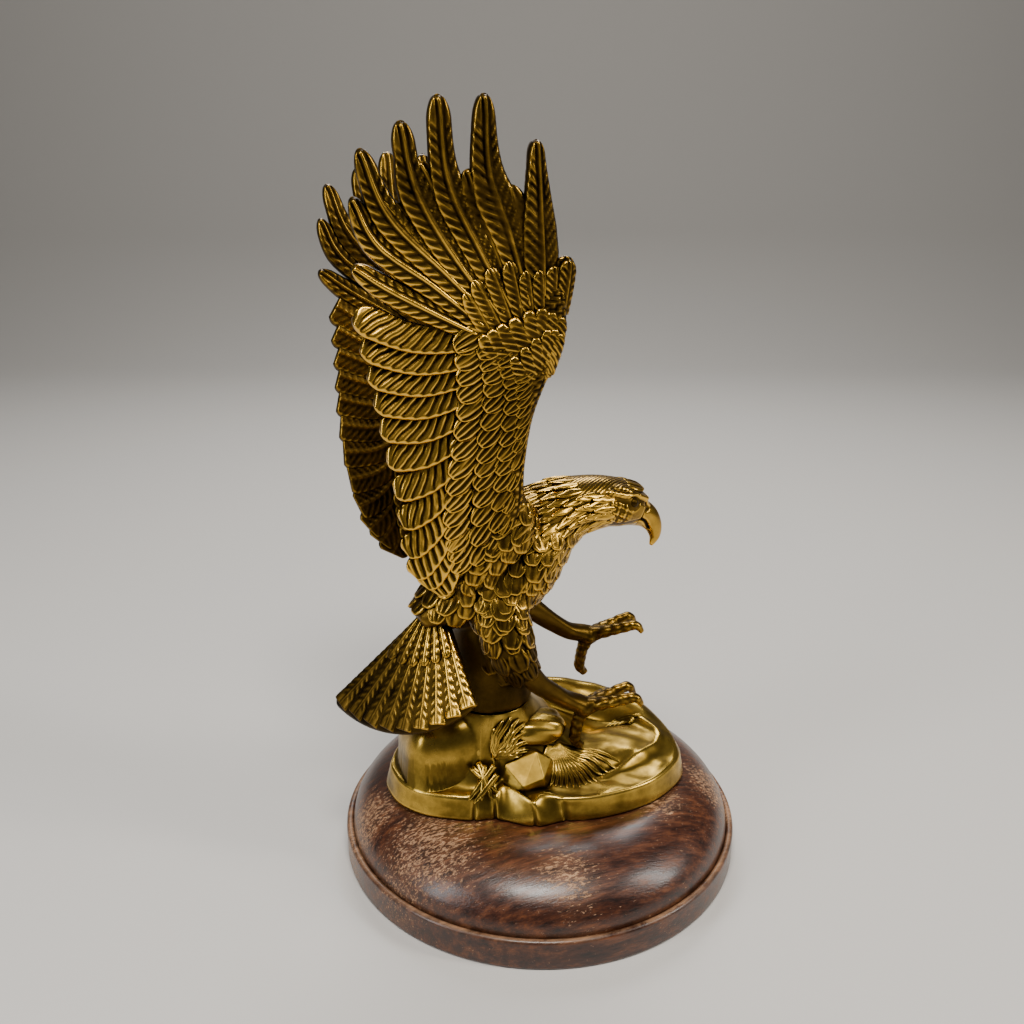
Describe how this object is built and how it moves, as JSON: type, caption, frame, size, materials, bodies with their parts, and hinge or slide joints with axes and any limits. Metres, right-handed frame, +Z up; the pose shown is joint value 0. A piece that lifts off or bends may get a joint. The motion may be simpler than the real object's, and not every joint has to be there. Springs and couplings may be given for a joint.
{
  "type": "eagle statue",
  "caption": "Cast brass eagle landing with raised wings, fanned tail and spread talons, on a polished brass rock and a round turned wooden plinth.",
  "frame": {"origin": "centre of the plinth's flat underside", "axes": "+Z up, towards the wing tips; the eagle's beak points along +X; the wings stand apart along Y"},
  "size_m": [0.1948, 0.194, 0.3472],
  "materials": {
    "antique_brass": "antique patina, rubbed bright on the raised feathers",
    "polished_brass": "polished, darker in the recesses",
    "stained_wood": "dark stain under worn varnish"
  },
  "bodies": {
    "root": {"eagle": "antique_brass", "rock_base": "polished_brass", "wooden_plinth": "stained_wood"}
  },
  "joints": []
}
